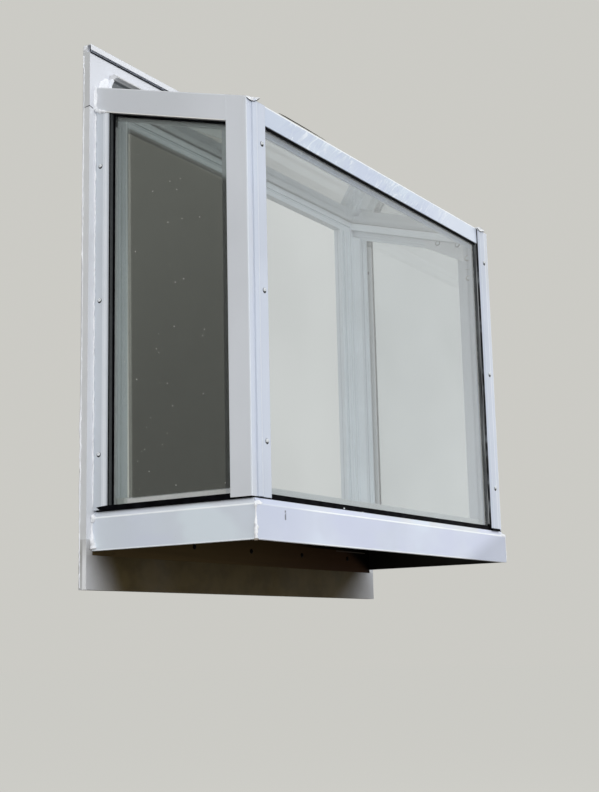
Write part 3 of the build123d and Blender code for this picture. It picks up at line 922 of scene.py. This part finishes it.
# painted shadows round the plate screws
heads, shadows = Shape(), Shape()
for y, z, r in ((-276.0, 893.0, 4.6), (-302.0, 897.0, 2.6), (-333.0, 878.0, 4.6)):
    heads.screw((PLATE_X + PLATE_THICK, y, z), (1, 0, 0), r, 2.0)
    shadows.seat((PLATE_X + PLATE_THICK, y, z), (1, 0, 0), r * 1.25)
plate.make_pair("corner_plate", plate_white, "inner_white", smooth=False)
heads.make_pair("corner_plate_screws", screw_mat, "mill_metal")
shadows.make_pair("corner_plate_shadows", spacer_mat, "mill_metal")


# sealant
# On the right side, which the photo doesn't show, the sealant is plainer.
def wall_sealant(seen):
    s = Shape()
    s.bead([(-549, -20, 1019), (-549.5, -20, 1000), (-549.6, -20, 984), (-549, -20, 968)],
           [3.4, 3.6, 2.6, 4.0], 1.3, 0.5)
    s.bead([(-548, -21, 967), (-549, -33, 961.5), (-549, -47, 957.5)], [5, 4.4, 2.4], 2.2, 0.5)
    s.bead([(-549.5, -20, 958), (-549.3, -20.3, 700), (-549.5, -20, 420), (-549.3, -20.3, 124)],
           [2.6, 1.6, 1.8, 1.6], 4.1, 0.7, 8, 40)
    s.patch([(-554.5, -19.2, 1009), (-549, -19.2, 1018), (-545, -19.2, 1012), (-545, -19.2, 965),
             (-553, -19.2, 966), (-555, -19.2, 985)], (0, -1, 0), 0.9, 5.5)
    if seen:
        s.bead([(-550.5, -21, 112), (-551, -24, 107), (-551, -21, 98)], [5, 6, 3], 6.0)
        s.bead([(-551, -20, 98), (-551.5, -20.5, 76), (-552, -23, 60), (-552, -26, 45)],
               [1.4, 2.6, 5.6, 7.0], 7.4, 0.4)
    return s


def corner_sealant(seen):
    s = Shape()
    s.bead([(-549.6, -414.6, 43), (-550.2, -415.2, 58), (-549.8, -414.8, 72), (-550, -415, 88),
            (-549.6, -414.6, 98), (-549.4, -414.4, 105)],
           [2.8, 4.2, 3.2, 0.9, 1.5, 3.6] if seen else [0.7, 0.9, 0.7, 0.6, 0.8, 1.4], 9.3, 0.55, 10, 9)
    s.patch([(-552, -414.6, 104), (-551, -413.0, 110), (-543, -410.6, 113.2), (-531, -410.2, 112.8),
             (-523, -412.4, 109.0), (-532, -414.8, 105.6)], (-0.3, -0.75, 0.5), 3.0, 3.3)
    return s


def bar_sealant():
    s = Shape()
    s.patch([(-551, -19.2, 1011), (-545, -19.2, 1017), (-538, -19.2, 1024), (-537, -19.2, 1034),
             (-529, -19.2, 1041), (-521, -19.2, 1049), (-509, -19.2, 1052), (-503, -19.2, 1044),
             (-506, -19.2, 1034), (-518, -19.2, 1018)], (0, -1, 0), 2.6, 2.0)
    s.patch([(-505.2, -18, 1022), (-505.2, -18, 1053), (-505.2, -29, 1051), (-505.2, -34, 1046),
             (-505.2, -28, 1038), (-505.2, -24, 1024)], (-1, 0, 0), 2.6, 6.0)
    return s


def trim_sealant(seen):
    s = Shape()
    s.bead([(-566.9, -3, -31), (-567.1, -2, 40), (-567.1, -2, 260), (-566.9, -4, 520), (-567.1, -2, 760),
            (-566.9, -3, 1000), (-567.0, -2, 1088)], [1.2, 1.2, 1.9, 0.8, 2.0, 1.0, 1.6], 8.8, 0.9, 8, 22)
    if seen:
        s.patch([(-567.4, -1, 1098), (-567.4, -8, 1101), (-567.4, -13, 1108), (-567.4, -2, 1110)],
                (-1, 0, 0), 0.8, 4.4)
    return s


for name, shown, hidden in (
    ("wall_sealant", wall_sealant(True), wall_sealant(False)),
    ("corner_sealant", corner_sealant(True), corner_sealant(False)),
    ("bar_sealant", bar_sealant(), bar_sealant()),
    ("trim_sealant", trim_sealant(True), trim_sealant(False)),
):
    shown.make(name + "_left", caulk_mat, "casing_white")
    hidden.mirrored().make(name + "_right", caulk_mat, "casing_white")

chips = Shape()
chips.blob((-551, -414, 41), (4.5, 3.6, 2.2), 1.0, 0.5)
chips.blob((-546, -414.5, 41.5), (4, 3, 1.8), 4.0, 0.5)
chips.make("corner_chip", chip_mat, "brown_board")

flecks = Shape()
for x, y, z, r, seed in (
    (-220.8, -405.8, 122.0, 1.6, 1), (-145.0, -405.6, 119.6, 1.2, 2), (197.8, -402, 130.5, 2.2, 3),
    (329.7, -402, 130.2, 2.2, 4), (-232.0, -404, 130.2, 1.0, 5),
):
    flecks.blob((x, y, z), (r * 1.3, r * 0.8, r), seed, 0.5, 6, 8)
flecks.make("gasket_flecks", caulk_mat, "casing_white")


# caps over the corner posts, each with a painted shadow line under its lower edge
def post_cap(name, low, top):
    cap = Shape()
    cap.prism(low + top[::-1], (0, 5.0, 0.6))
    cap.make(name, caulk_mat, "white_metal", smooth=False)
    line = Shape()
    radii = [0.4] + [0.75] * (len(low) - 2) + [0.4]
    line.bead([(x, y - 0.3, z - 0.5) for x, y, z in low], radii, 3.0, 0.2, 8, 3)
    line.make(name + "_shadow_line", dark_screw_and_shadow_mat, "black_rubber")


post_cap(
    "post_cap_left",
    [(-548.1, -406.8, 898.8), (-541.3, -407.2, 897.0), (-534.2, -408.6, 896.0), (-529.0, -411.6, 896.0),
     (-521.8, -412.6, 899.4), (-515.8, -412.6, 904.2), (-511.3, -412.6, 907.5)],
    [(-548.1, -406.8, 901.3), (-539.5, -407.2, 903.0), (-533.0, -408.6, 903.9), (-528.8, -411.6, 903.8),
     (-521.6, -412.6, 905.7), (-515.7, -412.6, 907.5), (-509.5, -412.6, 909.1)],
)
post_cap(
    "post_cap_right",
    [(480.0, -412.0, 900.6), (486.5, -412.4, 897.2), (493.0, -412.6, 895.0), (502.0, -412.4, 896.4),
     (514.0, -410.0, 900.4), (530.0, -408.0, 904.0)],
    [(480.0, -412.0, 902.6), (486.0, -412.4, 904.2), (492.5, -412.6, 905.8), (502.4, -412.4, 907.2),
     (515.0, -410.0, 908.2), (531.0, -408.0, 907.6)],
)

# the rubber under the lower edge of the roof glass
eave_line = Shape()
eave_line.bead([(-420, -397.2, 911.2), (-395, -397.2, 911.9), (-310, -397.2, 911.7), (-240, -397.2, 911.0)],
               [0.4, 1.1, 0.9, 0.3], 2.0, 0.2, 8, 8)
eave_line.make("eave_gasket", black_rubber, "black_rubber")


def strip_across(shape, x, y, z, wide):
    """A box that starts at x and runs on for wide, between two places in y and z."""
    (y0, y1), (z0, z1) = y, z
    shape.prism([(x, y0, z0), (x, y0, z1), (x, y1, z1), (x, y1, z0)], (wide, 0, 0))


# the dark strip of painted shadow under the drip cap and at its two ends, and the open joint of head and side
# casing
drip_shadow = Shape()
strip_across(drip_shadow, -566.5, (-20.8, -18.0), (1090.9, 1093.6), 1133)
strip_across(drip_shadow, -567.5, (-21.0, -19.0), (1093.8, 1108.0), 0.7)
strip_across(drip_shadow, 566.8, (-21.0, -19.0), (1093.8, 1108.0), 0.7)
drip_shadow.make("drip_shadow", joint_and_shadow_mat, "black_rubber", smooth=False)
casing_joint = Shape()
casing_joint.prism(
    [(-567.5, -19.4, 971.4), (-556.0, -19.4, 968.9), (-556.0, -19.4, 970.2), (-567.5, -19.4, 973.0)],
    (0, 1.0, 0),
)
casing_joint.prism(
    [(-567.3, -19.4, 971.4), (-567.3, -19.4, 973.0), (-567.3, -6.0, 971.6), (-567.3, -6.0, 970.6)],
    (0.6, 0, 0),
)
casing_joint.make_pair("casing_joint", joint_and_shadow_mat, "black_rubber", smooth=False)

# the ends of the side gaskets, which run on under the feet of the jamb covers
gasket_end = Shape()
gasket_end.prism([
    (-548.9, -62.0, 119.4), (-548.9, -41.0, 119.4), (-548.9, -29.0, 127.6), (-548.9, -45.0, 129.2),
    (-548.9, -62.0, 130.2),
], (2.0, 0, 0))
gasket_end.make_pair("gasket_end", black_rubber, "black_rubber", smooth=False)
cover_foot = Shape()
cover_foot.prism(
    [(484.5, -403.5, 118.6), (484.5, -412.6, 118.6), (484.5, -412.6, 124.2), (484.5, -403.5, 124.6)],
    (43.5, 0, 0),
)
cover_foot.make("cover_foot_gasket", black_rubber, "black_rubber", smooth=False)

# the dark rubber lip along the inner edge of each jamb cover, black at the arris and grey on its return
LIP_FOOT = 122.0
LIP_HIGH = (0, 0, 830.4)
for name, look, x0, x1, y0, y1 in (
    ("jamb_lip", black_rubber, -548.3, -547.9, -57.4, -60.4),
    ("jamb_fold", lip_mat, -547.8, -537.4, -60.1, -60.6),
):
    lip = Shape()
    lip.prism([(x0, y0, LIP_FOOT), (x0, y1, LIP_FOOT), (x1, y1, LIP_FOOT), (x1, y0, LIP_FOOT)], LIP_HIGH)
    lip.make_pair(name, look, "black_rubber", smooth=False)

# paint over the joint of corner post and side rail, which the photo shows as one face
joint_fill = Shape()
FILL_X = -548.25
fill_low, fill_high = STILE_Y - 2.1, STILE_Y + 2.3
joint_fill.prism([
    (FILL_X, fill_low, roof_z(fill_low) - 53.9), (FILL_X, fill_high, roof_z(fill_high) - 53.9),
    (FILL_X, fill_high, roof_z(fill_high) - 0.6), (FILL_X, fill_low, roof_z(fill_low) - 0.6),
], (0.4, 0, 0))
joint_fill.make_pair("corner_joint", paint_mat, "white_metal", smooth=False)

# fixings that show through the glass: plugs in the corner posts and a screw in each wall post
PLUG_X = -498.0
plugs, plug_shadows, wall_screw = Shape(), Shape(), Shape()
# painted shadows round the plugs, and a dark arc between them
for z, r in ((831.0, 5.2), (777.5, 4.4)):
    plugs.screw((PLUG_X, -367.5, z), (1, 0, 0), r, 1.6)
    plug_shadows.seat((PLUG_X, -367.5, z), (1, 0, 0), r * 1.25, 0.6)
plug_shadows.bead(
    [(-497.6, -375.0, 803.5), (-497.6, -371.5, 800.0), (-497.6, -366.0, 799.4), (-497.6, -361.5, 802.0)],
    [0.5, 0.9, 0.9, 0.5], 4.0, 0.2, 8, 3,
)
wall_screw.screw((-525.5, -55.0, 851.0), (0, -1, 0), 4.4, 2.2)
plugs.make_pair("post_plugs", inner_white, "inner_white")
plug_shadows.make_pair("post_plug_shadows", chip_mat, "mill_metal")
wall_screw.make_pair("wall_post_screw", dark_screw_and_shadow_mat, "mill_metal")


# dust on the glass
def dust_specks():
    rng = random.Random(11)
    s = Shape()
    east, inwards, upwards = Vector((1, 0, 0)), Vector((0, 1, 0)), Vector((0, 0, 1))

    def speck(centre, a, b, out):
        r = rng.uniform(0.35, 0.95)
        ring = []
        for k in range(6):
            t = 2 * math.pi * k / 6
            reach = r * rng.uniform(0.7, 1.2)
            ring.append(centre + a * math.cos(t) * reach + b * math.sin(t) * reach)
        s.rings([ring, [centre + (p - centre) * 0.6 + out * 0.25 for p in ring]])

    for side in (-1, 1):
        for _ in range(46):
            y = rng.uniform(STILE_Y + 8, JAMB_Y - 8)
            z = rng.uniform(LEDGE + 20, roof_z(y) - 66)
            speck(Vector((side * (GLASS_SIDE + 0.02), y, z)), inwards, upwards, east * side)
    for _ in range(70):
        x = rng.uniform(-470, 470)
        z = rng.uniform(LEDGE + 20, FRONT_TOP - 55)
        speck(Vector((x, GLASS_FRONT - 0.02, z)), east, upwards, -inwards)
    return s


dust_specks().make("dust_specks", dust_mat, "casing_white")


# stage
BACKDROP = (0.60, 0.595, 0.56)


def floor_look():
    s = Shader("pale_floor")
    pale = s.node("ShaderNodeEmission", Color=(*BACKDROP, 1), Strength=0.9)
    shade = s.node("ShaderNodeBsdfDiffuse", Color=(0.12, 0.12, 0.11, 1))
    seen = s.node("ShaderNodeAddShader", i0=pale.outputs[0], i1=shade.outputs[0])
    soft = s.mix(s.noise(0.8, 3), (0.10, 0.085, 0.06), (0.13, 0.11, 0.08))
    bounce = s.node("ShaderNodeBsdfDiffuse", Color=soft)
    mixed = s.node("ShaderNodeMixShader", i0=s.direct_rays(), i1=bounce.outputs[0], i2=seen.outputs[0])
    s.out(mixed.outputs[0])
    return s.material


FLOOR_Z = -1.1
FLOOR_HALF = 40
floor_mesh = bpy.data.meshes.new("floor")
floor_mesh.from_pydata(
    [(x * FLOOR_HALF, y * FLOOR_HALF, FLOOR_Z) for x, y in ((-1, -1), (1, -1), (1, 1), (-1, 1))],
    [], [(0, 1, 2, 3)],
)
floor_mesh.materials.append(floor_look())
floor = bpy.data.objects.new("floor", floor_mesh)
bpy.context.scene.collection.objects.link(floor)

world = bpy.data.worlds.new("studio")
bpy.context.scene.world = world
world.use_nodes = True
sky = Tree(world.node_tree)
ambient = sky.node("ShaderNodeBackground", Color=(0.95, 0.97, 1.0, 1), Strength=0.5)
shown = sky.node("ShaderNodeBackground", Color=(*BACKDROP, 1), Strength=1.0)
blend = sky.node("ShaderNodeMixShader", i0=sky.direct_rays(), i1=ambient.outputs[0], i2=shown.outputs[0])
sky.node("ShaderNodeOutputWorld", Surface=blend.outputs[0])

LAMP_AIM = Vector((0, -0.2, 0.5))


def softbox(name, spot, size, watts, colour=(1, 1, 1), mirrored=False):
    data = bpy.data.lights.new(name, "AREA")
    data.shape = "SQUARE"
    data.size = size
    data.energy = watts
    data.color = colour
    lamp = bpy.data.objects.new(name, data)
    bpy.context.scene.collection.objects.link(lamp)
    lamp.visible_camera = False
    lamp.visible_transmission = False
    lamp.visible_glossy = mirrored
    way = LAMP_AIM - Vector(spot)
    lamp.matrix_world = Matrix.Translation(spot) @ way.to_track_quat("-Z", "Y").to_matrix().to_4x4()


softbox("key", (-1.2, -4.9, 1.0), 4.0, 125)
softbox("fill", (-4.9, -1.3, 1.0), 4.0, 92)
softbox("right", (4.7, -2.7, 1.7), 4.4, 56, (0.93, 0.97, 1.0), True)
softbox("top", (0, -0.5, 4.8), 3.4, 62)

bpy.context.scene.view_settings.view_transform = "Standard"
